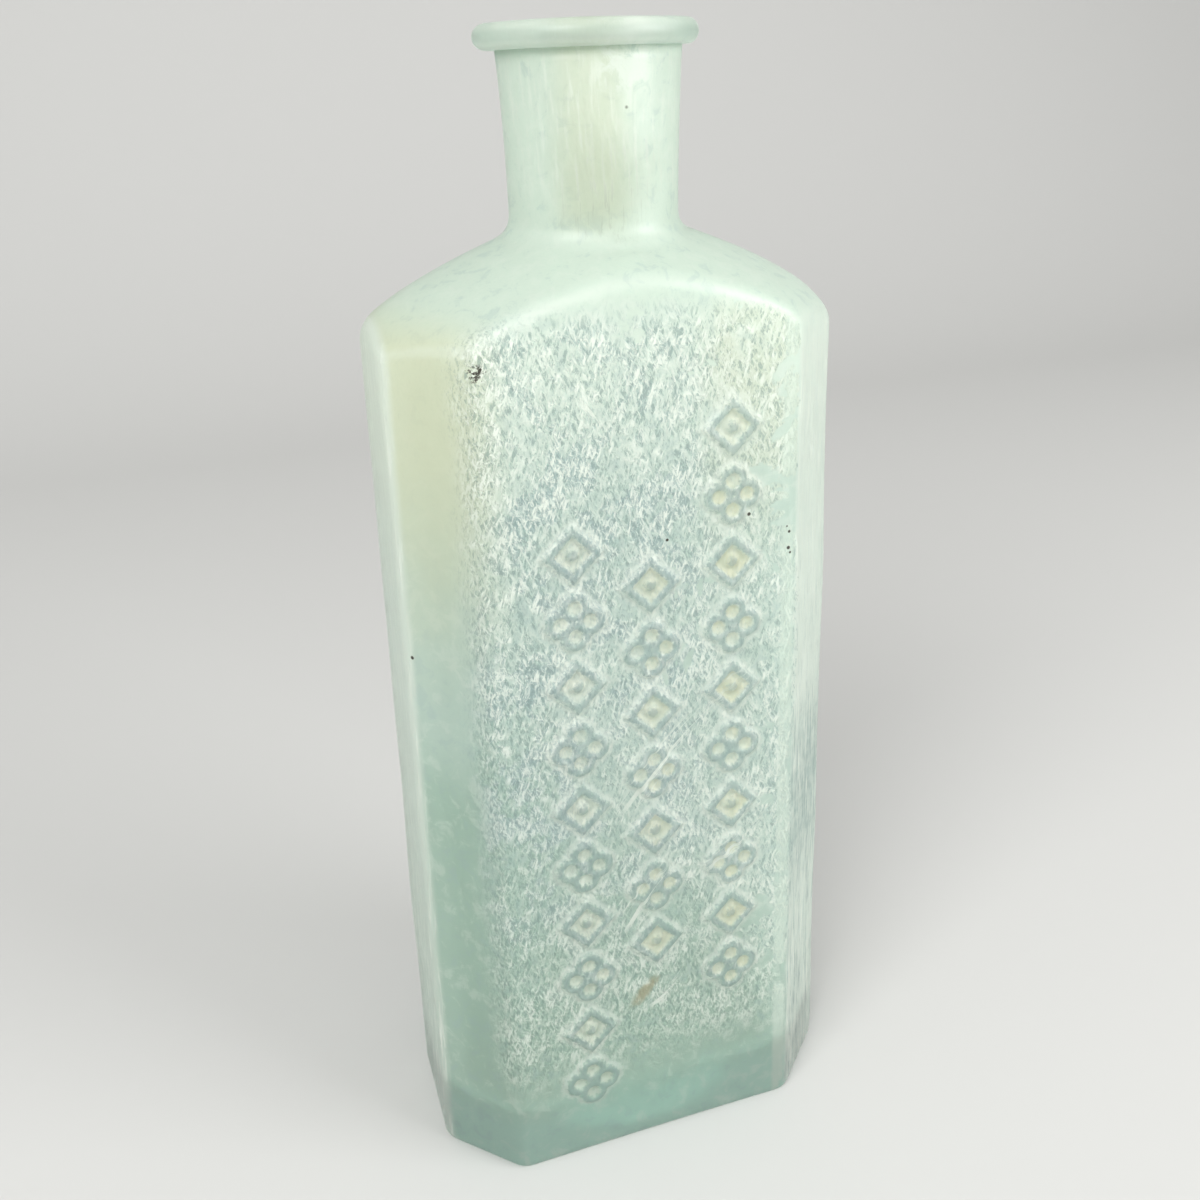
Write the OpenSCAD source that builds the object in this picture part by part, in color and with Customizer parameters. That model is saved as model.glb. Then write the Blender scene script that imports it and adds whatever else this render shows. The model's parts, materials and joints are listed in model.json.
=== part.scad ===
// Chemist's medicine bottle: a mould-blown, chamfered rectangular body with a
// vaulted shoulder and a round neck, and a separate flanged lip laid on the neck.
// Millimetres, +Z up, origin at the middle of the resting face. The broad faces
// look along Y, and the one with the raised ornament looks along -Y.

/* [Body] */
// Width over the narrow sides
body_w = 69.2; // [60:0.2:80]
// Depth over the broad faces
body_d = 40.8; // [38:0.2:50]
// Length that each corner chamfer takes off either face
chamfer = 10.6; // [8:0.2:12]
// Length that the rounding of an upright edge takes off either face
edge_round = 1.5; // [1:0.1:3]
// Rounding of the heel, where the walls turn under
heel_r = 1.6; // [1:0.2:3]
// Rounding of the edge between walls and shoulder
brow_r = 2.2; // [1.5:0.1:3]

/* [Shoulder and neck] */
// Height at which the shoulder's slope would meet the axis
crown_z = 156.2; // [150:0.2:165]
// Outer radius at the neck's waist
neck_r = 12.4; // [12:0.1:14]
// How much the neck widens from its waist to its rim
neck_flare = 0.9; // [0:0.1:1.2]
// Rounding of the hollow between shoulder and neck
root_r = 2.6; // [1.5:0.1:3.5]
// Radius of the bore through neck and lip
bore_r = 9.5; // [8:0.1:10]

/* [Lip] */
// Height to the top of the lip
total_h = 180; // [176:0.5:190]
// Outer radius of the lip's flange
lip_r = 16.1; // [15:0.1:18]
// Thickness of the flange
lip_t = 3.6; // [3:0.1:4.5]
// How far the flange sits off the neck's axis, towards -X
lip_shift = 0.4; // [0:0.1:1]
// Rounding of the mouth's inner edge
mouth_round = 1; // [0.5:0.1:1.5]

/* [Glass] */
// Thickness of the side walls
wall = 3; // [2.5:0.1:4]
// Thickness of the base at its rim
base_t = 7; // [5:0.5:9]
// Height of the push-up under the base
push_up = 1.4; // [0.5:0.1:2]

/* [Ornament] */
// Height of the ornament above the front face
relief = 0.6; // [0.3:0.1:0.8]
// Width of the ornament's ridges
ridge = 1.2; // [0.8:0.1:1.6]
// Distance between neighbouring motifs in a column
motif_pitch = 10.4; // [10:0.1:12]
// Size of a motif across its column
motif_w = 9; // [7:0.5:9.5]

/* [Hidden] */
aqua = [0.70, 0.86, 0.82];
pale_aqua = [0.80, 0.90, 0.85];

// The shoulder is level along pointed ovals, this many times longer across than
// deep, whose power is 2 for an ellipse and 1 for a lozenge. It falls at an even
// slope from the crown, then rolls over towards the corners.
oval = 1.124;
oval_power = 1.65;
shoulder_slope = 0.397;
roll_drop = 3.76;
roll_power = 5.5;

// The cavity follows the outside, with softer corners and a thicker shoulder.
cavity_round = 6;
cavity_edge_round = 5;
shoulder_wall = wall * 1.15;
cavity_chamfer = chamfer - wall / 2;

// Columns of points round the body, as steps on each stretch of its outline,
// and rows of points along each stretch of a column.
broad_steps = 10;
side_steps = 4;
chamfer_steps = 3;
round_steps = 4;
shoulder_steps = 6;
neck_steps = 5;

// The push-up is a shallow dish, this wide across its rim.
push_up_w = 30;

// Three upright columns of motifs: centre, top motif's height and number.
motif_columns = [[-11.4, 108.5, 10], [0.2, 102, 7], [13.2, 124.4, 10]];
ornament_root = 1;

neck_top = total_h - lip_t;
front_y = -body_d / 2;

function lerp(a, b, t) = a + (b - a) * t;

function toward(a, b, length) = a + (b - a) * length / norm(b - a);

// Corner b of a path, rounded between a and c.
function round_corner(a, b, c, steps = round_steps) =
    [for (i = [0:steps]) let (t = i / steps)
        a * (1 - t) * (1 - t) + b * 2 * t * (1 - t) + c * t * t];

// Corners of the chamfered rectangle, anticlockwise from the front right.
function octagon(w, d, c) = [
    [w / 2 - c, -d / 2], [w / 2, -d / 2 + c], [w / 2, d / 2 - c], [w / 2 - c, d / 2],
    [-w / 2 + c, d / 2], [-w / 2, d / 2 - c], [-w / 2, -d / 2 + c], [-w / 2 + c, -d / 2]];

// The chamfered rectangle with rounded corners, its straight stretches split so
// that the shoulder above them can curve.
function outline(w, d, c, r) =
    let (p = octagon(w, d, c),
         steps = [chamfer_steps, side_steps, chamfer_steps, broad_steps,
                  chamfer_steps, side_steps, chamfer_steps, broad_steps])
    [for (i = [0:7])
        let (before = p[(i + 7) % 8], corner = p[i], after = p[(i + 1) % 8],
             leave = toward(corner, after, r), arrive = toward(after, corner, r))
        each concat(
            round_corner(toward(corner, before, r), corner, leave),
            [for (j = [1:steps[i] - 1]) lerp(leave, arrive, j / steps[i])])];

// Half the length of the shoulder's level line through q.
function oval_radius(q) =
    pow(pow(abs(q[0]), oval_power) + pow(oval * abs(q[1]), oval_power), 1 / oval_power);
roll_reach = oval_radius([body_w / 2, body_d / 2 - chamfer]);

// Height of the shoulder at radius r, on the ray from the axis through q.
function shoulder_z(r, q) =
    let (reach = oval_radius(q) * r / norm(q))
    crown_z - shoulder_slope * reach - roll_drop * pow(reach / roll_reach, roll_power);

function neck_radius(z) =
    neck_r + neck_flare * pow((z - crown_z) / (neck_top - crown_z), 2);

// One column of the outside, as [radius, height] from heel to neck top.
function outer_column(q) =
    let (r = norm(q),
         brow = [r, shoulder_z(r, q)],
         past_brow = [r - brow_r, shoulder_z(r - brow_r, q)],
         root_edge = [neck_r + root_r, shoulder_z(neck_r + root_r, q)],
         root = [neck_r, shoulder_z(neck_r, q)])
    concat(
        round_corner([r - heel_r, 0], [r, 0], [r, heel_r]),
        round_corner(brow - [0, brow_r], brow, past_brow),
        [for (i = [1:shoulder_steps - 1])
            let (x = lerp(past_brow[0], root_edge[0], i / shoulder_steps))
            [x, shoulder_z(x, q)]],
        round_corner(root_edge, root, root + [0, root_r]),
        [for (i = [0:neck_steps])
            let (z = lerp(crown_z, neck_top, i / neck_steps))
            [neck_radius(z), z]]);

// One column of the cavity, from its floor to inside the bore.
function cavity_column(q) =
    let (r = norm(q),
         brow = [r, shoulder_z(r, q) - shoulder_wall],
         past_brow = [r - cavity_round, shoulder_z(r - cavity_round, q) - shoulder_wall])
    concat(
        round_corner([r - cavity_round, base_t], [r, base_t], [r, base_t + cavity_round]),
        round_corner(brow - [0, cavity_round], brow, past_brow),
        [for (i = [1:shoulder_steps])
            let (x = lerp(past_brow[0], bore_r - 1, i / shoulder_steps))
            [x, shoulder_z(x, q) - shoulder_wall]]);

// A closed solid with one column of points above each point of a base outline.
module columns(base, profiles) {
    n = len(base);
    m = len(profiles[0]);
    points = [for (i = [0:n - 1]) let (ray = base[i] / norm(base[i]))
        for (p = profiles[i]) [ray[0] * p[0], ray[1] * p[0], p[1]]];
    floor_centre = [0, 0, profiles[0][0][1]];
    top_centre = [0, 0, profiles[0][m - 1][1]];
    sides = [for (i = [0:n - 1]) let (k = (i + 1) % n) for (j = [0:m - 2]) each [
        [i * m + j, i * m + j + 1, k * m + j + 1],
        [i * m + j, k * m + j + 1, k * m + j]]];
    caps = [for (i = [0:n - 1]) let (k = (i + 1) % n) each [
        [n * m, i * m, k * m],
        [n * m + 1, k * m + m - 1, i * m + m - 1]]];
    polyhedron(concat(points, [floor_centre, top_centre]), concat(sides, caps));
}

module outside() {
    base = outline(body_w, body_d, chamfer, edge_round);
    columns(base, [for (q = base) outer_column(q)]);
}

module cavity() {
    base = outline(body_w - 2 * wall, body_d - 2 * wall, cavity_chamfer, cavity_edge_round);
    columns(base, [for (q = base) cavity_column(q)]);
}

module neck_bore() {
    start = crown_z - 16;
    translate([0, 0, start]) cylinder(h = total_h - start, r = bore_r, $fn = 96);
}

module push_up_dish() {
    r = (push_up_w * push_up_w / 4 + push_up * push_up) / (2 * push_up);
    translate([0, 0, push_up - r]) sphere(r = r, $fn = 180);
}

// A hollow diamond with a bead in the middle.
module diamond_motif() {
    half = motif_w / 2;
    inner = half - ridge * sqrt(2);
    difference() {
        polygon([[half, 0], [0, half], [-half, 0], [0, -half]]);
        polygon([[inner, 0], [0, inner], [-inner, 0], [0, -inner]]);
    }
    circle(r = ridge * 0.7, $fn = 24);
}

// The outline of a four-petalled flower.
module quatrefoil_motif() {
    petal = motif_w / 4;
    difference() {
        for (turn = [0:90:270]) rotate(turn) translate([petal, 0]) circle(r = petal, $fn = 32);
        for (turn = [0:90:270]) rotate(turn) translate([petal, 0])
            circle(r = petal - ridge, $fn = 32);
    }
}

// Diamonds and flowers by turns down each column, on the front face.
module ornament() {
    translate([0, front_y + ornament_root, 0]) rotate([90, 0, 0])
        linear_extrude(height = ornament_root + relief)
            for (column = motif_columns, i = [0:column[2] - 1])
                translate([column[0], column[1] - i * motif_pitch])
                    if (i % 2 == 0) diamond_motif(); else quatrefoil_motif();
}

module glass_body() {
    color(aqua) difference() {
        union() {
            outside();
            ornament();
        }
        cavity();
        neck_bore();
        push_up_dish();
    }
}

// Half the section of the flange without its mouth, with a full round edge.
module flange_section() {
    edge = lip_t / 2;
    square([lip_r - edge, lip_t]);
    translate([lip_r - edge, edge]) circle(r = edge, $fn = 48);
}

// Half the section of the mouth, which widens in a round towards the top. It
// runs a little past the flange on both sides.
module mouth_section() {
    past = 1;
    round_start = lip_t - mouth_round;
    translate([0, -past]) square([bore_r, lip_t + 2 * past]);
    difference() {
        translate([0, round_start]) square([bore_r + mouth_round, mouth_round + past]);
        translate([bore_r + mouth_round, round_start]) circle(r = mouth_round, $fn = 48);
    }
}

module applied_lip() {
    color(pale_aqua) translate([0, 0, neck_top]) difference() {
        translate([-lip_shift, 0, 0]) rotate_extrude($fn = 96) flange_section();
        rotate_extrude($fn = 96) mouth_section();
    }
}

glass_body();
applied_lip();
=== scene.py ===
"""An old chemist's medicine bottle of weathered aqua glass, on a pale studio floor."""

import json
import math

import bpy
import numpy as np
from bpy.props import FloatProperty, FloatVectorProperty, PointerProperty
from mathutils import Matrix, Vector, noise


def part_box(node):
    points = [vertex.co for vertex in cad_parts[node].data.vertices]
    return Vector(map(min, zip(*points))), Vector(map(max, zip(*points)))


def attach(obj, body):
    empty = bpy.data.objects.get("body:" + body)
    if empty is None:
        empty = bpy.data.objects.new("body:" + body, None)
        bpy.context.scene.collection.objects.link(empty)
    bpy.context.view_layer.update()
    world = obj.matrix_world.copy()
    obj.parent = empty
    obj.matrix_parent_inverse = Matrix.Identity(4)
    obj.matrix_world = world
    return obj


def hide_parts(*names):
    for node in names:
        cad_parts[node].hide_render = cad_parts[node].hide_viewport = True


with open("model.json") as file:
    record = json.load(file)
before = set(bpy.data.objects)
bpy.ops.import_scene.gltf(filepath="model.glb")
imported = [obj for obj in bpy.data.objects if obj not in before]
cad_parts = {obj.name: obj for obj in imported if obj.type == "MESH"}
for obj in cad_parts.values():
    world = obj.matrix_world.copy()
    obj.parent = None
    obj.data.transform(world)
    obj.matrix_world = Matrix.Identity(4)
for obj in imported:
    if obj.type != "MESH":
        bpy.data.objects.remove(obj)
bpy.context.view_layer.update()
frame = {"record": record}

bl_info = {
    "name": "Weathered medicine bottle",
    "version": (1, 0, 0),
    "blender": (4, 5, 0),
    "location": "View3D > Sidebar > Bottle",
    "description": "Makes a chamfered medicine bottle of weathered glass, and a studio for it",
    "category": "Add Mesh",
}

MM = 0.001
BODY = "root"

body_low, body_high = (Vector(corner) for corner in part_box("glass_body"))
lip_low, lip_high = (Vector(corner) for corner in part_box("applied_lip"))
mouth = next(m for m in frame["record"]["mounts"] if m["name"] == "mouth_bore")
RELIEF = 0.6 * MM


def length(name, default, description):
    return FloatProperty(
        name=name, description=description, default=default, unit="LENGTH", subtype="DISTANCE", precision=5
    )


def tint(name, default, description):
    return FloatVectorProperty(
        name=name, description=description, default=default, size=3, min=0, max=1, subtype="COLOR"
    )


class BottleShape(bpy.types.PropertyGroup):
    """Sizes of the glass. Those that the frame holds are read from it."""

    width: length("Width", body_high.x - body_low.x, "Across the narrow sides")
    depth: length("Depth", 2 * body_high.y, "Across the broad faces")
    chamfer: length("Chamfer", 10.6 * MM, "What each corner takes off either face")
    edge_round: length("Edge rounding", 1.5 * MM, "What rounding an upright edge takes off either face")
    heel: length("Heel", 1.6 * MM, "Rounding where the walls turn under")
    brow: length("Brow", 2.2 * MM, "Rounding between walls and shoulder")
    crown: length("Crown", 156.2 * MM, "Where the shoulder's slope would meet the axis")
    neck_radius: length("Neck", 12.4 * MM, "Outer radius at the neck's waist")
    neck_flare: length("Neck flare", 0.9 * MM, "How much the neck widens to its rim")
    root_round: length("Neck root", 2.6 * MM, "Hollow between shoulder and neck")
    neck_top: length("Neck top", body_high.z, "Where the lip is laid on")
    bore: length("Bore", mouth["dims"]["r_mm"] * MM, "Radius of the neck's bore")
    lip_radius: length("Lip", (lip_high.x - lip_low.x) / 2, "Outer radius of the flange")
    lip_shift: length("Lip shift", -(lip_high.x + lip_low.x) / 2, "How far the flange sits off the axis")
    lip_top: length("Lip top", lip_high.z, "Height of the whole bottle")
    lip_lean: FloatProperty(
        name="Lip lean", description="Slope of the flange's underside", default=0.006, precision=3
    )
    wall: length("Wall", 3 * MM, "Thickness of the side walls")
    base: length("Base", 7 * MM, "Thickness of the base")
    push_up: length("Push-up", 1.4 * MM, "Height of the dish under the base")
    relief: length("Relief", RELIEF, "Height of the raised ornament")
    ridge: length("Ridge", 1.2 * MM, "Width of the ornament's ridges")
    waviness: length("Waviness", 0.25 * MM, "How far the blown walls wander")


class GlassFinish(bpy.types.PropertyGroup):
    """Colours of the glass and of its weathering, some also used for painted highlight and painted shade."""

    depth_tint: tint("Depth tint", (0.45, 0.80, 0.74), "What the thick glass lets through")
    depth_strength: FloatProperty(name="Depth strength", description="Absorption per metre", default=30.0)
    base_glass: tint("Base", (0.49, 0.72, 0.61), "The thick glass of the base")
    frost_low: tint("Low frost", (0.40, 0.54, 0.44), "The frosted glass near the base")
    frost_middle: tint("Middle frost", (0.56, 0.67, 0.59), "The frosted glass of the walls")
    frost_high: tint("High frost", (0.74, 0.82, 0.72), "The frosted glass of shoulder and neck")
    # Besides the haze, this white is the painted highlight along the brow and part of the painted light on
    # the narrow sides.
    chalk_and_highlight: tint("Chalk", (0.87, 0.90, 0.82), "The fine white fibres of the haze")
    cream: tint("Cream haze", (0.74, 0.72, 0.50), "The haze where it has yellowed")
    blue: tint("Blue glass", (0.38, 0.48, 0.50), "Glass between the fibres where it is still clear")
    gap_shade: tint("Gaps", (0.16, 0.24, 0.25), "What darkens the gaps between the fibres")
    ridge_shade: tint("Ridges", (0.20, 0.27, 0.27), "What darkens the ridges of the ornament")
    worn: tint("Worn chamfer", (0.36, 0.46, 0.43), "The right chamfer where its frost is rubbed off")
    # Darkens the whole lip a little, and is the painted shade of the bore seen through its edge.
    lip_tone_and_bore_shade: tint("Lip", (0.36, 0.43, 0.37), "What darkens the clearer glass of the lip")
    smudge: tint("Smudge", (0.42, 0.46, 0.33), "The grey-green smudge on the neck")
    smudge_streaks: tint("Smudge streaks", (0.24, 0.25, 0.18), "Dark streaks in the smudge")
    stain: tint("Stain", (0.42, 0.33, 0.17), "The brown stain low on the front")
    crust: tint("Crust", (0.06, 0.055, 0.045), "Specks of dark crust")
    clear_glass: tint("Clear glass", (0.90, 0.97, 0.95), "The glass under the frost")


class StudioSet(bpy.types.PropertyGroup):
    """The floor, the lamps and where the camera stands."""

    floor_colour: tint("Floor", (0.52, 0.52, 0.505), "Pale floor and backdrop")
    sky: FloatProperty(name="Sky", description="Strength of the even light from all round", default=0.8)
    key: FloatProperty(name="Key lamp", description="Power of the left lamp", default=5.6, unit="POWER")
    fill: FloatProperty(name="Fill lamp", description="Power of the right lamp", default=5.6, unit="POWER")
    camera_place: FloatVectorProperty(
        name="Camera",
        description="Where the camera stands",
        default=(-55.03 * MM, -169.05 * MM, 173.74 * MM),
        size=3,
        subtype="TRANSLATION",
        unit="LENGTH",
    )
    camera_turn: FloatProperty(name="Turn", description="To the right of +Y", default=0.3141, subtype="ANGLE")
    camera_dip: FloatProperty(name="Dip", description="Below the horizon", default=0.3129, subtype="ANGLE")
    camera_roll: FloatProperty(name="Roll", description="About the view", default=-0.0315, subtype="ANGLE")
    lens: FloatProperty(name="Lens", description="Focal length in millimetres", default=35.67)
    lens_shift: FloatProperty(name="Lens shift", description="Upright shift of the lens", default=-0.1237)


# ---------------------------------------------------------------- shape of the glass


def mix(a, b, t):
    return a + (b - a) * t


def smooth(low, high, value):
    t = np.clip((value - low) / (high - low), 0, 1)
    return t * t * (3 - 2 * t)


def round_corner(before, corner, after, steps):
    """Points along a corner that a quadratic curve rounds, both ends included."""
    before, corner, after = (np.array(p, float) for p in (before, corner, after))
    t = np.linspace(0, 1, steps + 1)[:, None]
    return before * (1 - t) ** 2 + corner * 2 * t * (1 - t) + after * t**2


def spaced(low, high, step):
    """Even points from low up to high, without high."""
    return np.linspace(low, high, max(1, round((high - low) / step)), endpoint=False)


SPLITS = (7, 9, 7, 24, 7, 9, 7)  # of the seven stretches before the front face


def outline(width, depth, chamfer, rounding, front):
    """The chamfered rectangle with rounded corners, anticlockwise from the front right.
    front holds the places across the front face, from -1 to 1."""
    w, d = width / 2, depth / 2
    near = [(w - chamfer, -d), (w, -d + chamfer), (w, d - chamfer), (w - chamfer, d)]
    corners = np.array(near + [(-x, -y) for x, y in near])
    points = []
    for i, corner in enumerate(corners):
        before, after = corners[i - 1], corners[(i + 1) % 8]
        back = (before - corner) / np.linalg.norm(before - corner)
        on = (after - corner) / np.linalg.norm(after - corner)
        points.extend(round_corner(corner + back * rounding, corner, corner + on * rounding, 6))
        start, end = corner + on * rounding, after - on * rounding
        places = (front + 1) / 2 if i == 7 else np.linspace(0, 1, SPLITS[i] + 1)
        points.extend(mix(start, end, t) for t in places[1:-1])
    return np.array(points)


# The shoulder is level along pointed ovals, this many times longer across than deep.
OVAL, OVAL_POWER = 1.124, 1.65
SLOPE = 0.397
ROLL_DROP, ROLL_POWER = 3.76 * MM, 5.5

# The cavity has softer corners than the outside, and a thicker shoulder over it.
CAVITY_ROUND, CAVITY_EDGE_ROUND = 6 * MM, 5 * MM
SHOULDER_THICKNESS = 1.15  # times the wall's
PUSH_UP_RADIUS = 15 * MM


def oval_radius(x, y):
    return (abs(x) ** OVAL_POWER + (OVAL * abs(y)) ** OVAL_POWER) ** (1 / OVAL_POWER)


def shoulder(shape, r, ray):
    """Height of the shoulder at radius r along a ray from the axis."""
    reach = r * oval_radius(*ray)
    corner = oval_radius(shape.width / 2, shape.depth / 2 - shape.chamfer)
    return shape.crown - SLOPE * reach - ROLL_DROP * (reach / corner) ** ROLL_POWER


def neck_radius(shape, z):
    rise = np.clip((z - shape.crown) / (shape.neck_top - shape.crown), 0, None)
    return shape.neck_radius + shape.neck_flare * rise**2


def lean(shape, x):
    """Height of the flange's underside, which is also the neck's top."""
    return shape.neck_top + shape.lip_lean * x


def outer_column(shape, q, rows):
    """[radius, height] of one upright line of the outside, from the base's middle to the neck's top."""
    r = np.hypot(*q)
    ray = q / r
    heel, brow, root = shape.heel, shape.brow, shape.root_round
    under = np.array([(r - heel) * f for f in np.linspace(0.02, 1, 16)[:-1]])
    dish = shape.push_up * np.clip(1 - (under / PUSH_UP_RADIUS) ** 2, 0, 1) ** 1.2
    base = np.column_stack([under, dish])
    turn = round_corner((r - heel, 0), (r, 0), (r, heel), 5)
    top = shoulder(shape, r, ray)
    past = (r - brow, shoulder(shape, r - brow, ray))
    edge = round_corner((r, top - brow), (r, top), past, 7)
    heights = mix(heel, top - brow, rows)
    wall = np.column_stack([np.full(len(heights), r), heights])
    foot = shape.neck_radius + root
    radii = np.linspace(r - brow, foot, 15)[1:-1]
    vault = np.column_stack([radii, shoulder(shape, radii, ray)])
    stem = shoulder(shape, shape.neck_radius, ray)
    hollow = round_corner(
        (foot, shoulder(shape, foot, ray)), (shape.neck_radius, stem), (shape.neck_radius, stem + root), 7
    )
    rise = np.linspace(stem + root, shape.neck_top, 13)[1:]
    neck = np.column_stack([neck_radius(shape, rise), rise])
    return np.vstack([base, turn, wall, edge, vault, hollow, neck])


def inner_column(shape, q):
    """[radius, height] of one upright line of the inside, from the neck's top down to the floor's middle."""
    r = np.hypot(*q)
    ray = q / r
    soft = CAVITY_ROUND
    thick = shape.wall * SHOULDER_THICKNESS
    down = np.linspace(shape.neck_top, shape.crown + 1 * MM, 10)
    bore = np.column_stack([np.full(len(down), shape.bore), down])
    throat = shape.bore + 3 * MM
    turn = round_corner(
        (shape.bore, shape.crown - 1 * MM),
        (shape.bore, shoulder(shape, shape.bore, ray) - thick),
        (throat, shoulder(shape, throat, ray) - thick),
        6,
    )
    radii = np.linspace(throat, r - soft, 12)[1:-1]
    vault = np.column_stack([radii, shoulder(shape, radii, ray) - thick])
    top = shoulder(shape, r, ray) - thick
    brow = round_corner((r - soft, shoulder(shape, r - soft, ray) - thick), (r, top), (r, top - soft), 8)
    heights = np.linspace(top - soft, shape.base + soft, 40)[1:-1]
    wall = np.column_stack([np.full(len(heights), r), heights])
    heel = round_corner((r, shape.base + soft), (r, shape.base), (r - soft, shape.base), 8)
    floor = np.array([((r - soft) * f, shape.base) for f in np.linspace(1, 0.02, 9)[1:]])
    return np.vstack([bore, turn, vault, brow, wall, heel, floor])


# Three upright columns of motifs: centre, height of the top one, and number.
MOTIF_COLUMNS = ((-11.4 * MM, 108.5 * MM, 10), (0.2 * MM, 102 * MM, 7), (13.2 * MM, 124.4 * MM, 10))
MOTIF_PITCH, MOTIF_WIDTH = 10.4 * MM, 9 * MM
FAR = 9 * MM
BUSY = 19 * MM  # half the width of the front that holds the ornament


def diamond(x, z, ridge):
    """Distance from the middle line of a diamond with a bead in it, and from the diamond's inside."""
    half = MOTIF_WIDTH / 2 - ridge / math.sqrt(2)
    across = (np.abs(x) + np.abs(z) - half) / math.sqrt(2)
    return np.minimum(np.abs(across), np.hypot(x, z) - ridge * 0.25), across


def quatrefoil(x, z, ridge):
    """Distance from the outline of a four-petalled flower, and from its petals' inside."""
    petal = MOTIF_WIDTH / 4
    x, z = np.maximum(np.abs(x), np.abs(z)), np.minimum(np.abs(x), np.abs(z))
    across = np.hypot(x - petal, z) - (petal - ridge / 2)
    return np.abs(across), across


def ornament_distance(x, z, ridge):
    """Distance of the front's points from the nearest ridge's middle line, and from the nearest inside."""
    nearest = np.full(x.shape, FAR)
    inside = np.full(x.shape, FAR)
    for middle, top, count in MOTIF_COLUMNS:
        for i in range(count):
            motif = diamond if i % 2 == 0 else quatrefoil
            away, across = motif(x - middle, z - (top - i * MOTIF_PITCH), ridge)
            nearest, inside = np.minimum(nearest, away), np.minimum(inside, across)
    return nearest, inside


def wander(points, scale, seed):
    """Slow random drift, from -1 to 1, at each point."""
    shift = Vector((seed, 2.7 * seed, -1.3 * seed))
    return np.array([noise.noise(Vector(p) * scale + shift) for p in points])


def glass_body_mesh(shape):
    fine, coarse = 0.4 * MM, 1.2 * MM
    flat = shape.width / 2 - shape.chamfer - shape.edge_round
    across = [spaced(-flat, -BUSY, coarse), spaced(-BUSY, BUSY, fine), spaced(BUSY, flat, coarse)]
    front = np.append(np.concatenate(across), flat) / flat
    low, high, top = shape.heel, 131 * MM, 141 * MM
    rows = np.concatenate([spaced(low, high, fine), spaced(high, top, coarse)])
    rows = (rows - low) / (top - low)
    outside = outline(shape.width, shape.depth, shape.chamfer, shape.edge_round, front)
    inside = outline(
        shape.width - 2 * shape.wall,
        shape.depth - 2 * shape.wall,
        shape.chamfer - shape.wall / 2,
        CAVITY_EDGE_ROUND,
        front,
    )
    columns = []
    for q, p in zip(outside, inside):
        out = outer_column(shape, q, rows[1:])
        into = inner_column(shape, p)
        ring = np.column_stack([np.linspace(out[-1, 0], into[0, 0], 4)[1:-1], np.full(2, shape.neck_top)])
        rays = np.vstack(
            [np.tile(q / np.hypot(*q), (len(out) + 2, 1)), np.tile(p / np.hypot(*p), (len(into), 1))]
        )
        profile = np.vstack([out, ring, into])
        columns.append(np.column_stack([rays * profile[:, :1], profile[:, 1]]))
    outer_rows = len(out)
    points = np.array(columns)
    drift(shape, points, outer_rows)
    marks = raise_ornament(shape, points, outer_rows)
    marks["inside"] = np.zeros(points.shape[:2])
    marks["inside"][:, outer_rows + 2 :] = 1
    # Distance from the edge between wall and shoulder, which places a painted highlight line.
    marks["brow_highlight_gap"] = np.array(
        [column_gap(shape, q, column, outer_rows) for q, column in zip(outside, points)]
    )
    tilt = (points[..., 2] > shape.crown) * (points[..., 2] - shape.crown) / (shape.neck_top - shape.crown)
    points[..., 2] += tilt * shape.lip_lean * points[..., 0]
    return grid_mesh("glass_body_blown", points, marks)


def column_gap(shape, q, column, outer_rows):
    """How far each point of a column is from the edge between wall and shoulder, in mm. It places the painted
    highlight line along that edge.
    """
    r = np.hypot(*q)
    brow = shoulder(shape, r, q / r) - 0.3 * shape.brow
    gap = np.full(len(column), FAR)
    radius = np.hypot(column[:outer_rows, 0], column[:outer_rows, 1])
    gap[:outer_rows] = np.hypot(radius - r + 0.3 * shape.brow, column[:outer_rows, 2] - brow)
    return gap / MM


def drift(shape, points, outer_rows):
    """The blown walls wander a little, the inside more than the outside."""
    flat = points.reshape(-1, 3)
    slow = wander(flat, 45, 3.1).reshape(points.shape[:2])
    quick = wander(flat * (1, 1, 0.35), 130, 8.4).reshape(points.shape[:2])
    amount = slow * shape.waviness + quick * shape.waviness * 0.35
    inner = np.arange(points.shape[1]) >= outer_rows + 2
    amount[:, inner] *= 2.2
    radius = np.hypot(points[..., 0], points[..., 1])
    free = smooth(0.5 * MM, 4 * MM, points[..., 2]) * smooth(0, 4 * MM, shape.neck_top - points[..., 2])
    free = np.where(inner[None, :], smooth(0, 4 * MM, shape.neck_top - points[..., 2]), free)
    scale = 1 + amount * free / np.maximum(radius, 6 * MM)
    points[..., 0] *= scale
    points[..., 1] *= scale


def raise_ornament(shape, points, outer_rows):
    """Presses the ornament out, and tells how far each point is from a ridge and a hollow, in mm."""
    outer = points[:, :outer_rows]
    x, y, z = outer[..., 0], outer[..., 1], outer[..., 2]
    near_front = smooth(-shape.depth / 2 + 2 * MM, -shape.depth / 2 + 1 * MM, y)
    near_front = near_front * (z > shape.heel) * (z < 132 * MM) * (np.abs(x) < 20 * MM)
    away, across = ornament_distance(x, z, shape.ridge)
    ridge = 1 - smooth(0.25 * shape.ridge, 0.85 * shape.ridge, away)
    outer[..., 1] -= shape.relief * ridge * near_front
    marks = {}
    for name, distance in (("ridge_gap", away), ("hollow_gap", across)):
        marks[name] = np.full(points.shape[:2], FAR / MM)
        marks[name][:, :outer_rows] = np.where(near_front > 0.5, distance, FAR) / MM
    return marks


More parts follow.
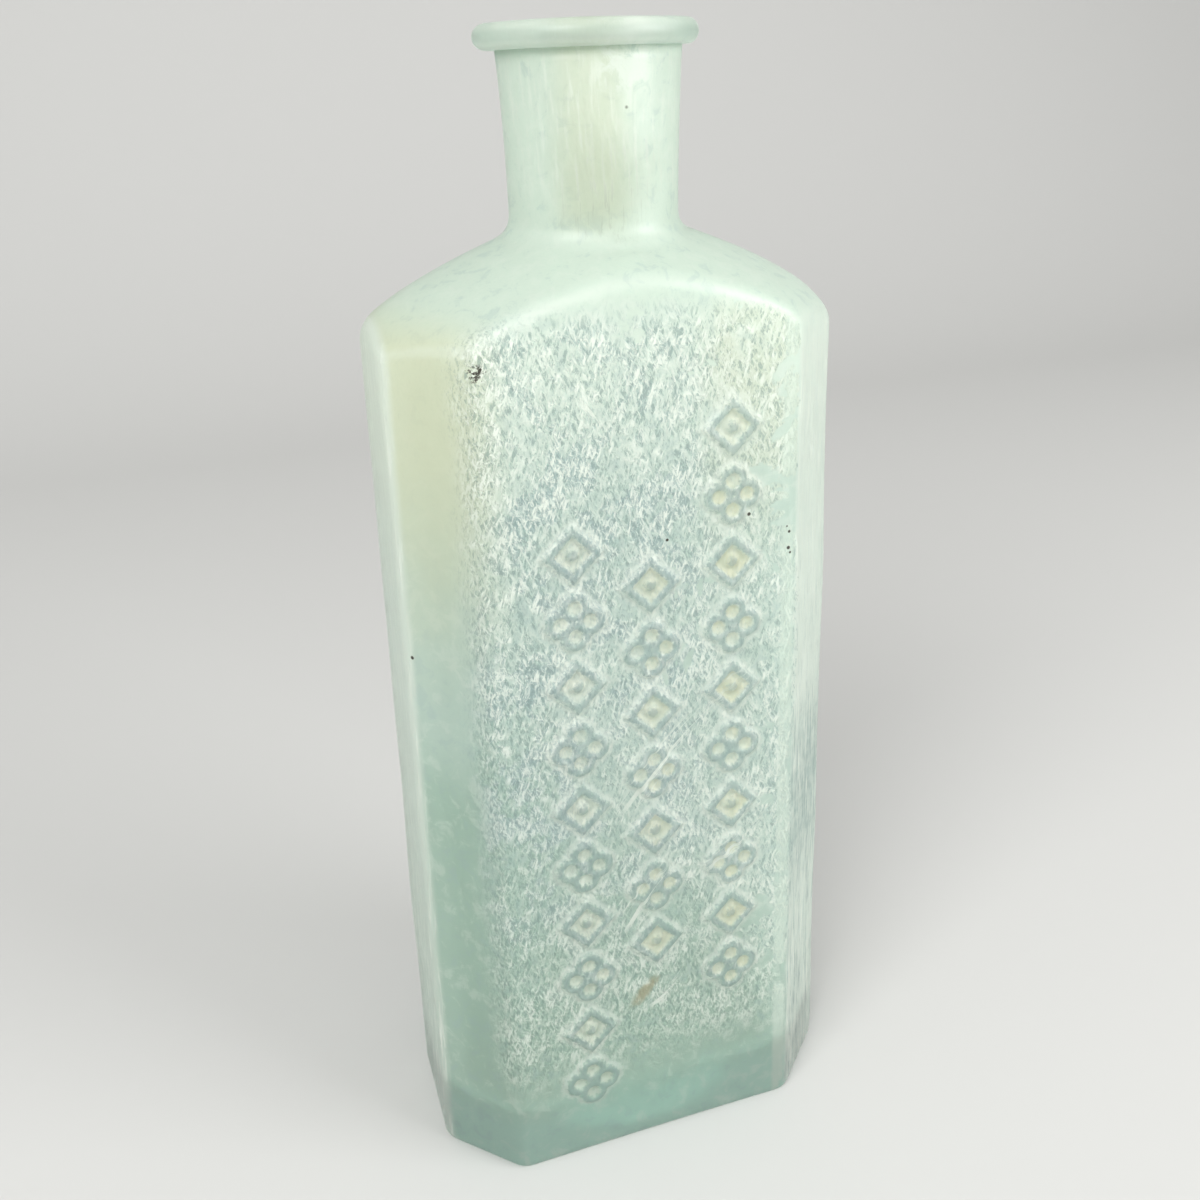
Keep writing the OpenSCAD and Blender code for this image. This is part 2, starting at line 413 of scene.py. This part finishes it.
def grid_mesh(name, points, marks):
    """A closed mesh from columns of points that all run from one pole to the other."""
    n, m = points.shape[:2]
    index = np.arange(n * m).reshape(n, m)
    after = np.roll(index, -1, axis=0)
    quads = np.stack([index[:, :-1], after[:, :-1], after[:, 1:], index[:, 1:]], axis=-1).reshape(-1, 4)
    poles = [points[:, 0].mean(axis=0), points[:, -1].mean(axis=0)]
    vertices = np.vstack([points.reshape(-1, 3), poles])
    faces = quads.tolist()
    first, last = n * m, n * m + 1
    faces += [[int(first), int(b), int(a)] for a, b in zip(index[:, 0], after[:, 0])]
    faces += [[int(last), int(a), int(b)] for a, b in zip(index[:, -1], after[:, -1])]
    mesh = bpy.data.meshes.new(name)
    mesh.from_pydata(vertices.tolist(), [], faces)
    mesh.polygons.foreach_set("use_smooth", np.ones(len(mesh.polygons), bool))
    for mark, values in marks.items():
        attribute = mesh.attributes.new(mark, "FLOAT", "POINT")
        ends = [values[0, 0], values[0, -1]]
        attribute.data.foreach_set("value", np.append(values.ravel(), ends).astype(np.float32))
    mesh.update()
    return mesh


def lip_mesh(shape):
    """The flange: thicker on one side, with a full round edge and an eased mouth."""
    turns, bulge, ease = 144, 1.7 * MM, 1.2 * MM
    neck = shape.neck_radius + shape.neck_flare
    points = []
    for k in range(turns):
        angle = 2 * math.pi * k / turns
        ray = np.array([math.cos(angle), math.sin(angle)])
        swell = 0.18 * MM * noise.noise(Vector((*(ray * 1.7), 4.2)))
        outer = shape.lip_radius - 0.1 * MM + swell
        low = lean(shape, outer * ray[0]) + 0.02 * MM
        top = shape.lip_top + 0.12 * MM * noise.noise(Vector((*(ray * 1.3), 9.6))) - 0.06 * MM
        half = (top - low) / 2
        section = [(shape.bore, low), (mix(shape.bore, neck, 0.5), low), (neck, low)]
        section += [(mix(neck, outer - bulge, t), low) for t in (0.5, 1.0)]
        arc = np.linspace(-math.pi / 2, math.pi / 2, 15)[1:-1]
        section += [(outer - bulge + bulge * math.cos(a), low + half + half * math.sin(a)) for a in arc]
        flat_edge, bore_edge = (shape.bore + ease, top), (shape.bore, top - ease)
        section += [(mix(outer - bulge, shape.bore + ease, t), top) for t in (0, 0.33, 0.67)]
        section += [tuple(p) for p in round_corner(flat_edge, (shape.bore, top), bore_edge, 6)]
        section += [(shape.bore, mix(top - ease, low, t)) for t in (0.33, 0.67)]
        shifts = [shape.lip_shift * smooth(neck, outer, r) for r, _ in section]
        points.append([(r * ray[0] - shift, r * ray[1], z) for (r, z), shift in zip(section, shifts)])
    points = np.array(points)
    n, m = points.shape[:2]
    index = np.arange(n * m).reshape(n, m)
    after = np.roll(index, -1, axis=0)
    quads = np.stack(
        [index, after, np.roll(after, -1, axis=1), np.roll(index, -1, axis=1)], axis=-1
    ).reshape(-1, 4)
    mesh = bpy.data.meshes.new("applied_lip_ring")
    mesh.from_pydata(points.reshape(-1, 3).tolist(), [], quads.tolist())
    mesh.polygons.foreach_set("use_smooth", np.ones(len(mesh.polygons), bool))
    mesh.update()
    return mesh


# ---------------------------------------------------------------- materials


class Shader:
    """Short calls for building a node tree."""

    def __init__(self, name):
        self.material = bpy.data.materials.new(name)
        self.material.use_nodes = True
        self.nodes = self.material.node_tree.nodes
        self.links = self.material.node_tree.links
        self.nodes.clear()
        self.output = self.nodes.new("ShaderNodeOutputMaterial")
        to_mm = self.nodes.new("ShaderNodeVectorMath")
        to_mm.operation = "SCALE"
        to_mm.inputs["Scale"].default_value = 1 / MM
        self.links.new(self.nodes.new("ShaderNodeTexCoord").outputs["Object"], to_mm.inputs[0])
        self.place = to_mm.outputs[0]

    def put(self, socket, value):
        if isinstance(value, bpy.types.NodeSocket):
            self.links.new(value, socket)
        else:
            socket.default_value = value

    def math(self, operation, *values):
        node = self.nodes.new("ShaderNodeMath")
        node.operation = operation
        for socket, value in zip(node.inputs, values):
            self.put(socket, value)
        return node.outputs[0]

    def along(self, sizes, climb=0.0, middle=(0, 0, 0)):
        """Places in a frame whose first axis climbs at an angle across the front, in units of the sizes."""
        node = self.nodes.new("ShaderNodeMapping")
        node.vector_type = "TEXTURE"
        self.put(node.inputs["Vector"], self.place)
        node.inputs["Scale"].default_value = sizes
        node.inputs["Rotation"].default_value = (0, -climb, 0)
        node.inputs["Location"].default_value = middle
        return node.outputs[0]

    def split(self, vector):
        node = self.nodes.new("ShaderNodeSeparateXYZ")
        self.put(node.inputs[0], vector)
        return node.outputs

    def away_from(self, x, y, z):
        """Distance from a place, in mm."""
        node = self.nodes.new("ShaderNodeVectorMath")
        node.operation = "DISTANCE"
        self.put(node.inputs[0], self.place)
        node.inputs[1].default_value = (x, y, z)
        return node.outputs["Value"]

    def mark(self, name):
        node = self.nodes.new("ShaderNodeAttribute")
        node.attribute_name = name
        return node.outputs["Fac"]

    def add(self, *values):
        total = values[0]
        for value in values[1:]:
            total = self.math("ADD", total, value)
        return total

    def times(self, *values):
        product = values[0]
        for value in values[1:]:
            product = self.math("MULTIPLY", product, value)
        return product

    def noise(self, scale, detail=2.0, rough=0.5, warp=0.0, place=None):
        node = self.nodes.new("ShaderNodeTexNoise")
        self.put(node.inputs["Vector"], place or self.place)
        node.inputs["Scale"].default_value = scale
        node.inputs["Detail"].default_value = detail
        node.inputs["Roughness"].default_value = rough
        node.inputs["Distortion"].default_value = warp
        return node.outputs[0]

    def ramp(self, value, low, high, to_low=0.0, to_high=1.0):
        node = self.nodes.new("ShaderNodeMapRange")
        node.interpolation_type = "SMOOTHSTEP"
        for socket, given in zip(node.inputs, (value, low, high, to_low, to_high)):
            self.put(socket, given)
        return node.outputs[0]

    def colours(self, factor, first, second):
        node = self.nodes.new("ShaderNodeMix")
        node.data_type = "RGBA"
        self.put(node.inputs[0], factor)
        self.put(node.inputs[6], first if isinstance(first, bpy.types.NodeSocket) else (*first, 1))
        self.put(node.inputs[7], second if isinstance(second, bpy.types.NodeSocket) else (*second, 1))
        return node.outputs[2]

    def blend(self, factor, first, second):
        node = self.nodes.new("ShaderNodeMixShader")
        self.put(node.inputs[0], factor)
        self.links.new(first, node.inputs[1])
        self.links.new(second, node.inputs[2])
        return node.outputs[0]

    def bump(self, height, distance, strength=1.0):
        node = self.nodes.new("ShaderNodeBump")
        self.put(node.inputs["Height"], height)
        node.inputs["Distance"].default_value = distance
        node.inputs["Strength"].default_value = strength
        return node.outputs[0]


# Bundles of fine scratches: middle x and z, climb, length, breadth and bend, in mm and radians.
SCRATCHES = (
    (5, 76, 0.73, 36, 5, 0.006),
    (15, 55, 0.6, 18, 4, -0.01),
    (-1, 49, 0.9, 17, 5, 0.01),
    (-7, 128, -1.1, 9, 3, 0.04),
    (2, 29, 0.65, 9, 2, -0.03),
)

# Specks of crust: place and size, in mm.
SPECKS = (
    (1, -12.4, 168.5, 0.4),
    (-2.3, -12.2, 167, 0.25),
    (-30, -3, 142, 0.5),
    (-33.6, -10.8, 92, 0.3),
    (22.3, -20.4, 107.6, 0.2),
    (22.7, -20.4, 106.7, 0.28),
    (22.6, -20.4, 104.1, 0.32),
    (22.9, -20.3, 103.3, 0.2),
    (16, -20.4, 110.5, 0.3),
    (3, -20.4, 108.5, 0.25),
)


def scratches(s):
    """How much each place is scratched, from 0 to 1."""
    total = 0.0
    for x, z, climb, length_mm, breadth, bend in SCRATCHES:
        u, _, v = s.split(s.along((1, 1, 1), climb, (x, 0, z)))
        v = s.add(v, s.times(u, u, bend))
        lines = s.nodes.new("ShaderNodeCombineXYZ")
        s.put(lines.inputs[0], s.times(u, 1 / length_mm))
        s.put(lines.inputs[2], s.times(v, 1.9))
        fine = s.ramp(s.noise(1.0, 2, 0.6, 0.3, lines.outputs[0]), 0.52, 0.62)
        ends = s.ramp(s.math("ABSOLUTE", u), 0.3 * length_mm, 0.5 * length_mm, 1, 0)
        sides = s.ramp(s.math("ABSOLUTE", v), 0.3 * breadth, 0.6 * breadth, 1, 0)
        total = s.math("MAXIMUM", total, s.times(fine, ends, sides))
    front = s.ramp(s.split(s.place)[1], -19.5, -18, 1, 0)
    return s.times(total, front)


def specks(s):
    """Dark crust: a cluster beside the left edge, and single dots."""
    rough = s.noise(2.2, 2, 0.6)
    cluster = s.ramp(s.add(s.away_from(-23.6, -20.4, 136), s.times(rough, 3)), 2.2, 2.9, 1, 0)
    total = s.times(cluster, s.ramp(s.noise(1.6, 2, 0.6), 0.42, 0.5))
    for x, y, z, size in SPECKS:
        total = s.math("MAXIMUM", total, s.ramp(s.away_from(x, y, z), size * 0.7, size * 1.2, 1, 0))
    return total


def fibres(s):
    """Short fine fibres of haze, mostly upright, and the gaps between them, both from 0 to 1."""
    leaning = s.noise(1.0, 3, 0.65, 0.5, s.along((0.42, 0.42, 1.6), -0.3))
    other = s.noise(1.0, 3, 0.65, 0.5, s.along((0.4, 0.4, 1.4), 0.4, (7, 3, 5)))
    crossing = s.noise(1.0, 2, 0.6, 0.5, s.along((0.4, 0.4, 1.1), 1.1, (3, 8, 1)))
    strokes = s.math("MAXIMUM", s.ramp(leaning, 0.51, 0.6), s.times(s.ramp(other, 0.52, 0.61), 0.9))
    strokes = s.math("MAXIMUM", strokes, s.times(s.ramp(crossing, 0.55, 0.62), 0.8))
    gaps = s.times(s.ramp(leaning, 0.52, 0.44), s.ramp(other, 0.52, 0.44))
    return strokes, gaps


class Zones:
    """Noises shared by the layers, and where each kind of weathering and painted highlight lies, from 0 to 1.
    """

    def __init__(self, s):
        self.x, self.y, self.z = x, y, z = s.split(s.place)
        self.patches = s.noise(0.11, 4, 0.6, 0.5)
        self.blotches = s.noise(0.4, 4, 0.65, 0.6)
        self.streaks = s.noise(1.0, 3, 0.7, 0.4, s.along((0.5, 0.5, 7)))
        self.drift = s.times(s.add(s.noise(0.035, 3, 0.55), -0.5), 40)
        ragged_y = s.add(y, s.times(self.patches, 3))
        front_edge = s.ramp(x, -20, 0, -14.5, -18.5)
        self.front = s.times(s.ramp(ragged_y, -18.6, front_edge, 1, 0), s.ramp(z, 139, 145, 1, 0))
        self.back = s.times(s.ramp(ragged_y, 19.6, 20.8), s.ramp(z, 138, 144, 1, 0))
        self.right_chamfer = s.times(s.ramp(x, 23.4, 24.6), s.ramp(z, 134, 142, 1, 0))
        # A pale band along the rounded right upright edge of the front: smoother glass there, partly painted
        # highlight on the rounding.
        self.smooth_edge_highlight = s.times(s.ramp(x, 21.0, 21.8), s.ramp(x, 23.2, 24.0, 1, 0), self.front)
        self.sides = s.math("MAXIMUM", self.right_chamfer, s.ramp(s.math("ABSOLUTE", x), 33, 34.3))
        # Above a slanting line the glass is hazed, and under it teal and clearer.
        slant = s.add(z, s.times(x, 1.2), self.drift, s.ramp(x, -25, -29, 0, 16))
        self.hazed = s.ramp(slant, 42, 68)
        self.above_base = s.ramp(s.add(z, s.times(self.patches, 6)), 10, 18)
        self.high = s.ramp(s.add(z, s.times(self.drift, 0.5)), 104, 138)


def frost_colour(s, zones, finish):
    """Teal and clear low down, hazed above, whiter towards the shoulder, and mottled all over."""
    x, z = zones.x, zones.z
    frost = s.colours(zones.above_base, finish.base_glass, finish.frost_low)
    frost = s.colours(s.times(zones.hazed, zones.above_base), frost, finish.frost_middle)
    frost = s.colours(zones.high, frost, finish.frost_high)
    clear = s.ramp(s.add(zones.patches, s.times(zones.blotches, 0.7)), 0.78, 0.94, 0.2, 1)
    clear = s.times(zones.front, clear, s.ramp(z, 24, 70), s.ramp(z, 112, 138, 1, 0.6))
    frost = s.colours(s.times(clear, s.ramp(x, 2, 14, 1, 0.4), 0.9), frost, finish.blue)
    mottle = s.add(s.times(zones.blotches, 0.7), s.times(zones.patches, 0.3))
    frost = s.colours(s.ramp(mottle, 0.5, 0.62, 0, 0.3), frost, finish.chalk_and_highlight)
    return s.colours(s.ramp(mottle, 0.47, 0.37, 0, 0.3), frost, finish.blue)


def local_frost(s, zones, finish, frost):
    """Cream haze, sides whitened partly by chalky haze and partly by painted light, the worn chamfer, and the
    neck's smudge and white patch.
    """
    x, y, z = zones.x, zones.y, zones.z
    left_top = s.ramp(s.add(z, zones.drift), 86, 126)
    left_top = s.times(s.ramp(x, -18, -27), left_top, s.ramp(z, 138, 144, 1, 0))
    right_top = s.times(zones.front, s.ramp(x, 6, 13), s.ramp(z, 96, 122), s.ramp(zones.patches, 0.3, 0.55))
    lateral = s.add(s.times(x, 0.95), s.times(y, -0.31))  # across the neck's better side
    neck_front = s.times(s.ramp(z, 150, 156), s.ramp(s.math("ABSOLUTE", lateral), 2, 7, 1, 0))
    creamy = s.math("MAXIMUM", s.times(right_top, 0.6), s.times(neck_front, 0.5))
    creamy = s.math("MAXIMUM", left_top, creamy)
    frost = s.colours(s.times(creamy, 0.75), frost, finish.cream)

    # The narrow sides and the right chamfer are whitened, more higher up: partly their haze, partly painted
    # light brightening the side faces.
    frost = s.colours(s.times(zones.sides, s.ramp(z, 8, 80, 0.6, 0.95)), frost, finish.chalk_and_highlight)
    worn = s.times(zones.right_chamfer, s.ramp(s.math("ABSOLUTE", s.add(z, -58)), 6, 22, 1, 0))
    frost = s.colours(s.times(worn, s.ramp(zones.blotches, 0.35, 0.6, 0.9, 0.4)), frost, finish.worn)

    smudge = s.ramp(s.add(s.away_from(-2, -12, 159), s.times(zones.patches, 8)), 6, 14, 1, 0)
    frost = s.colours(s.times(smudge, 0.4), frost, finish.smudge)
    streaks = s.times(smudge, s.ramp(zones.streaks, 0.54, 0.62), 0.5)
    frost = s.colours(streaks, frost, finish.smudge_streaks)
    under_lip = s.times(s.ramp(z, 169, 172), s.ramp(lateral, 0, 3), s.ramp(lateral, 7, 9, 1, 0))
    return s.colours(s.times(under_lip, s.ramp(zones.blotches, 0.42, 0.56)), frost, finish.chalk_and_highlight)


def fibre_haze(s, zones, finish, frost):
    """Fine white fibres on the faces, long streaks on the sides, a pale right front edge that is partly
    painted highlight, and a painted highlight line along the brow. Gives the colour and how hazed it is.
    """
    z = zones.z
    speckle, gaps = fibres(s)
    dense = s.times(s.ramp(z, 12, 24), s.ramp(zones.hazed, 0, 0.8, 0.75, 0.95))
    amount = s.add(s.times(zones.front, dense), s.times(zones.back, s.ramp(z, 12, 70, 0.2, 0.7)))
    amount = s.add(amount, s.times(s.ramp(z, 100, 140), 0.06))
    streak = s.math("MAXIMUM", zones.sides, s.ramp(z, 152, 160, 0, 0.5))
    streak = s.times(streak, s.ramp(zones.streaks, 0.5, 0.62))
    streak_gap = s.ramp(zones.streaks, 0.38, 0.46, 1, 0)
    streak_gap = s.times(zones.right_chamfer, streak_gap, s.ramp(z, 112, 64, 0.2, 1))
    cloud = s.ramp(s.add(zones.blotches, s.times(zones.patches, 0.6)), 0.64, 0.9, 0.3, 1)
    haze = s.math("MAXIMUM", s.times(amount, speckle, cloud), streak)
    colour = s.colours(haze, frost, finish.chalk_and_highlight)
    dark = s.math("MAXIMUM", s.times(amount, gaps, 0.8), s.times(streak_gap, 0.8))
    colour = s.colours(dark, colour, s.colours(0.7, frost, finish.gap_shade))
    # Paints the right front edge pale: partly smoother glass, partly painted highlight on the rounded edge.
    colour = s.colours(s.times(zones.smooth_edge_highlight, 0.6), colour, finish.frost_high)
    # Painted highlight: a pale line along the edge between walls and shoulder, on the arch and the chamfers.
    brow = s.ramp(s.mark("brow_highlight_gap"), 0.2, 1.3, 1, 0)
    return s.colours(s.times(brow, s.ramp(zones.patches, 0.3, 0.6, 0.2, 0.5)), colour, finish.chalk_and_highlight), haze


def ornament_colour(s, zones, finish, colour):
    """Grey ridges with a chalky halo, and cream haze held in their hollows."""
    gap, hollow = s.mark("ridge_gap"), s.mark("hollow_gap")
    ragged = s.add(gap, s.times(s.add(s.noise(1.6, 2, 0.6), -0.5), 1.4))
    ridge = s.ramp(ragged, 0.2, 0.65, 1, 0)
    halo = s.times(s.ramp(ragged, 0.5, 0.8), s.ramp(ragged, 1.0, 1.9, 1, 0))
    inside = s.times(s.ramp(hollow, -0.3, -0.8), s.ramp(zones.patches, 0.3, 0.6, 0.3, 1))
    colour = s.colours(s.times(halo, 0.5), colour, finish.chalk_and_highlight)
    colour = s.colours(s.times(inside, s.ramp(zones.x, -14, 12, 0.25, 0.8)), colour, finish.cream)
    return s.colours(s.times(ridge, 0.5), colour, s.colours(0.6, finish.blue, finish.ridge_shade))


def lip_colour(s, zones, finish, colour):
    """The lip is clearer than the body and a little darker all over, with painted shade in a band round the
    middle of its edge, where the dark bore shows through.
    """
    # Painted shade: the dark bore seen through the lip, as a darker band round the middle of its edge.
    band = s.times(s.ramp(zones.z, 176.8, 177.6), s.ramp(zones.z, 178.4, 179.4, 1, 0))
    return s.colours(s.add(0.08, s.times(band, 0.4)), colour, finish.lip_tone_and_bore_shade)


def stain_amount(s, zones):
    """A ragged brown stain low on the front, longer than it is wide."""
    u, _, v = s.split(s.along((1, 1, 1), 0.85, (-2, 0, 30)))
    away = s.math("SQRT", s.add(s.times(u, u, 0.07), s.times(v, v, 0.6)))
    return s.times(s.ramp(s.add(away, s.times(zones.blotches, 2.0)), 1.3, 2.2, 1, 0), zones.front)


def weathered_glass(name, finish, ornate=True):
    """Frosted glass: rough clear glass, partly covered by a film of haze that lets some light through."""
    s = Shader(name)
    zones = Zones(s)
    frost = local_frost(s, zones, finish, frost_colour(s, zones, finish))
    colour, haze = fibre_haze(s, zones, finish, frost)
    colour = (ornament_colour if ornate else lip_colour)(s, zones, finish, colour)
    colour = s.colours(s.times(stain_amount(s, zones), 0.7), colour, finish.stain)
    scratched, crust = scratches(s), specks(s)
    colour = s.colours(scratched, colour, finish.chalk_and_highlight)
    colour = s.colours(crust, colour, finish.crust)

    glass = s.nodes.new("ShaderNodeBsdfPrincipled")
    glass.inputs["Base Color"].default_value = (*finish.clear_glass, 1)
    glass.inputs["Transmission Weight"].default_value = 1.0
    glass.inputs["IOR"].default_value = 1.5
    s.put(glass.inputs["Roughness"], s.ramp(zones.patches, 0.2, 0.8, 0.32, 0.5))
    film = s.nodes.new("ShaderNodeBsdfPrincipled")
    film.inputs["Sheen Weight"].default_value = 0.35
    film.inputs["Sheen Roughness"].default_value = 0.25
    s.put(film.inputs["Roughness"], s.ramp(haze, 0, 1, 0.38, 0.6))
    glow = s.nodes.new("ShaderNodeBsdfTranslucent")
    height = s.add(s.times(haze, 0.6), s.times(scratched, -0.5))
    relief = s.bump(s.times(height, s.math("MAXIMUM", zones.front, zones.sides)), 0.08 * MM)
    for shader in (glass, film, glow):
        s.put(shader.inputs["Normal"], relief)
    s.put(film.inputs["Base Color"], colour)
    s.put(glow.inputs["Color"], colour)
    if ornate:
        cover = s.add(
            0.5, s.times(zones.above_base, 0.1), s.times(haze, 0.2), s.times(zones.high, 0.08), crust
        )
        cover = s.times(cover, s.ramp(s.mark("inside"), 0, 1, 1, 0.45))
    else:
        cover = s.ramp(zones.patches, 0.3, 0.7, 0.5, 0.7)
    hazy = s.blend(0.4, film.outputs[0], glow.outputs[0])
    surface = s.blend(s.math("MINIMUM", cover, 1.0), glass.outputs[0], hazy)
    s.links.new(surface, s.output.inputs["Surface"])
    depth = s.nodes.new("ShaderNodeVolumeAbsorption")
    depth.inputs["Color"].default_value = (*finish.depth_tint, 1)
    depth.inputs["Density"].default_value = finish.depth_strength
    s.links.new(depth.outputs[0], s.output.inputs["Volume"])
    return s.material


def floor_paint(studio):
    s = Shader("pale_floor_paint")
    paint = s.nodes.new("ShaderNodeBsdfPrincipled")
    paint.inputs["Base Color"].default_value = (*studio.floor_colour, 1)
    paint.inputs["Roughness"].default_value = 0.75
    s.links.new(paint.outputs[0], s.output.inputs["Surface"])
    return s.material


# ---------------------------------------------------------------- making the pieces


def add_piece(name, mesh, material):
    piece = bpy.data.objects.new(name, mesh)
    bpy.context.scene.collection.objects.link(piece)
    mesh.materials.append(material)
    return piece


class BOTTLE_OT_glass_body(bpy.types.Operator):
    """Make the blown body with its neck, cavity and raised ornament"""

    bl_idname = "bottle.glass_body"
    bl_label = "Glass Body"

    def execute(self, context):
        shape, finish = context.scene.bottle_shape, context.scene.bottle_finish
        glass = weathered_glass("weathered_aqua_glass", finish)
        piece = add_piece("blown_body", glass_body_mesh(shape), glass)
        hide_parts("glass_body")
        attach(piece, BODY)
        return {"FINISHED"}


class BOTTLE_OT_applied_lip(bpy.types.Operator):
    """Make the flange that was laid on the end of the neck"""

    bl_idname = "bottle.applied_lip"
    bl_label = "Applied Lip"

    def execute(self, context):
        shape, finish = context.scene.bottle_shape, context.scene.bottle_finish
        glass = weathered_glass("pale_lip_glass", finish, False)
        piece = add_piece("laid_on_lip", lip_mesh(shape), glass)
        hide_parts("applied_lip")
        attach(piece, BODY)
        return {"FINISHED"}


def add_lamp(name, place, target, size, power):
    lamp = bpy.data.lights.new(name, "AREA")
    lamp.shape = "DISK"
    lamp.size = size
    lamp.energy = power
    piece = bpy.data.objects.new(name, lamp)
    piece.location = place
    piece.rotation_euler = (Vector(target) - Vector(place)).to_track_quat("-Z", "Y").to_euler()
    bpy.context.scene.collection.objects.link(piece)


class BOTTLE_OT_studio(bpy.types.Operator):
    """Make the pale floor, the soft lamps and the camera"""

    bl_idname = "bottle.studio"
    bl_label = "Studio"

    def execute(self, context):
        scene, studio = context.scene, context.scene.bottle_studio
        self.sweep(studio)
        world = bpy.data.worlds.new("soft_sky")
        world.use_nodes = True
        world.node_tree.nodes["Background"].inputs["Color"].default_value = (1, 1, 1, 1)
        world.node_tree.nodes["Background"].inputs["Strength"].default_value = studio.sky
        scene.world = world
        scene.view_settings.view_transform = "Standard"
        add_lamp("key_lamp", (-0.45, -0.45, 0.55), (0, 0, 0.13), 0.5, studio.key)
        add_lamp("fill_lamp", (0.6, -0.5, 0.35), (0, 0, 0.1), 0.5, studio.fill)
        self.camera(scene, studio)
        return {"FINISHED"}

    def sweep(self, studio):
        """A floor that curves up into a backdrop."""
        bend, back, wide, high = 0.35, 0.75, 2.5, 1.6
        path = [(-1.5, 0.0), (-0.5, 0.0), (back - bend, 0.0)]
        turns = np.linspace(0, math.pi / 2, 17)[1:]
        path += [(back - bend + bend * math.sin(a), bend - bend * math.cos(a)) for a in turns]
        path.append((back, high))
        vertices = [(side * wide, y, z) for y, z in path for side in (-1, 1)]
        faces = [(2 * i, 2 * i + 1, 2 * i + 3, 2 * i + 2) for i in range(len(path) - 1)]
        mesh = bpy.data.meshes.new("floor_sweep")
        mesh.from_pydata(vertices, [], faces)
        mesh.polygons.foreach_set("use_smooth", np.ones(len(faces), bool))
        add_piece("floor_sweep", mesh, floor_paint(studio))

    def camera(self, scene, studio):
        turn, dip = studio.camera_turn, studio.camera_dip
        ahead = Vector((math.sin(turn) * math.cos(dip), math.cos(turn) * math.cos(dip), -math.sin(dip)))
        right = Vector((math.cos(turn), -math.sin(turn), 0))
        up = right.cross(ahead)
        roll = studio.camera_roll
        right, up = right * math.cos(roll) + up * math.sin(roll), up * math.cos(roll) - right * math.sin(roll)
        camera = bpy.data.cameras.new("camera")
        camera.lens = studio.lens
        camera.sensor_width = 36
        camera.shift_y = studio.lens_shift
        camera.clip_start = 0.01
        stand = bpy.data.objects.new("camera", camera)
        turned = Matrix((right, up, -ahead)).transposed()
        stand.matrix_world = Matrix.Translation(studio.camera_place) @ turned.to_4x4()
        scene.collection.objects.link(stand)
        scene.camera = stand


class BOTTLE_PT_panel(bpy.types.Panel):
    """Lists the steps that make the bottle"""

    bl_label = "Medicine Bottle"
    bl_idname = "BOTTLE_PT_panel"
    bl_space_type = "VIEW_3D"
    bl_region_type = "UI"
    bl_category = "Bottle"

    def draw(self, context):
        for step in STEPS:
            self.layout.operator(step.bl_idname)
        for group in GROUPS:
            settings = getattr(context.scene, group)
            box = self.layout.box()
            for name in settings.bl_rna.properties.keys():
                if name not in ("rna_type", "name"):
                    box.prop(settings, name)


STEPS = (BOTTLE_OT_studio, BOTTLE_OT_glass_body, BOTTLE_OT_applied_lip)
GROUPS = {"bottle_shape": BottleShape, "bottle_finish": GlassFinish, "bottle_studio": StudioSet}


def register():
    for cls in (*GROUPS.values(), *STEPS, BOTTLE_PT_panel):
        bpy.utils.register_class(cls)
    for name, group in GROUPS.items():
        setattr(bpy.types.Scene, name, PointerProperty(type=group))


def unregister():
    for name in GROUPS:
        delattr(bpy.types.Scene, name)
    for cls in reversed((*GROUPS.values(), *STEPS, BOTTLE_PT_panel)):
        bpy.utils.unregister_class(cls)


def main():
    register()
    bpy.ops.bottle.studio()
    bpy.ops.bottle.glass_body()
    bpy.ops.bottle.applied_lip()


if __name__ == "__main__":
    main()
